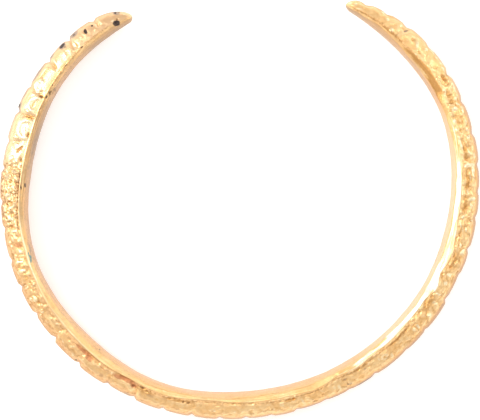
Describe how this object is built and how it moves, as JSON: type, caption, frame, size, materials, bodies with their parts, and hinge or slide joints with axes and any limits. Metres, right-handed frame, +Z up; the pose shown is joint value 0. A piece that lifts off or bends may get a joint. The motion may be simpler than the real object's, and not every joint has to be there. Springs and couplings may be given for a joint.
{
  "type": "arm ring",
  "caption": "Open arm ring in gilt cast bronze: smooth inner face, narrow rims, notched and chip-carved outer face, tapered rounded ends.",
  "frame": {"origin": "centre of the ring's box seen from above, on the plane that its lower rim rests on", "axes": "+Z up through the ring's opening as it lies flat, +Y towards the gap between its two ends, +X to the right with the gap at the far side"},
  "size_m": [0.07, 0.0612, 0.006],
  "materials": {
    "gilt_bronze": "worn gilding on cast bronze, satin to bright, with dark stains and a little green corrosion"
  },
  "bodies": {
    "root": {"arm_ring": "gilt_bronze"}
  },
  "joints": []
}
